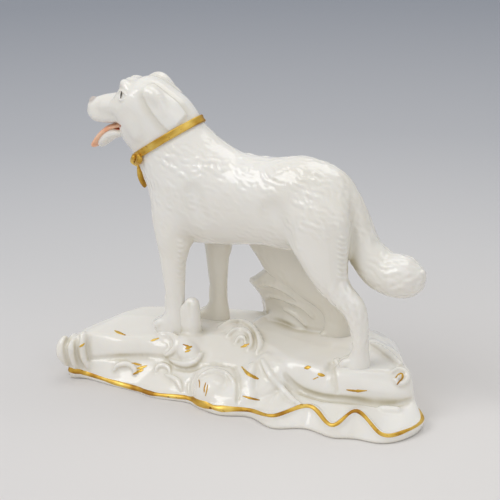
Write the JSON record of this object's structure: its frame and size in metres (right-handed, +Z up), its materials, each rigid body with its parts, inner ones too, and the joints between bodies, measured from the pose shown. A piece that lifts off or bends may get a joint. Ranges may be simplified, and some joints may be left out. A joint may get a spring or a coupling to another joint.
{
  "type": "standing dog figurine",
  "caption": "Glazed porcelain mantel figure of a standing retriever with open mouth and gilt collar on a scrolled rockwork base.",
  "frame": {"origin": "middle of the base on the table", "axes": "+X towards the tail along the longest side, -Y towards the dog's left side, +Z up"},
  "size_m": [0.156, 0.078, 0.1232],
  "materials": {
    "white_glaze": "clear glossy glaze over white porcelain, slightly creamy",
    "bare_clay": "unglazed, lightly sanded underside",
    "salmon_enamel": "salmon red enamel under a gloss",
    "gilding": "fired gold over glazed clay, worn in places"
  },
  "bodies": {
    "root": {"base_shell": "white_glaze", "base_plate": "bare_clay", "torso_left_shell": "white_glaze", "torso_right_shell": "white_glaze", "head": "white_glaze", "lower_jaw": "white_glaze", "tongue": "salmon_enamel", "left_ear": "white_glaze", "right_ear": "white_glaze", "left_fore_leg": "white_glaze", "right_fore_leg": "white_glaze", "left_hind_leg": "white_glaze", "right_hind_leg": "white_glaze", "tail": "white_glaze", "rock_support": "white_glaze", "rock_knob": "white_glaze", "collar": "gilding", "collar_knot": "gilding", "collar_drop": "gilding"}
  },
  "joints": []
}
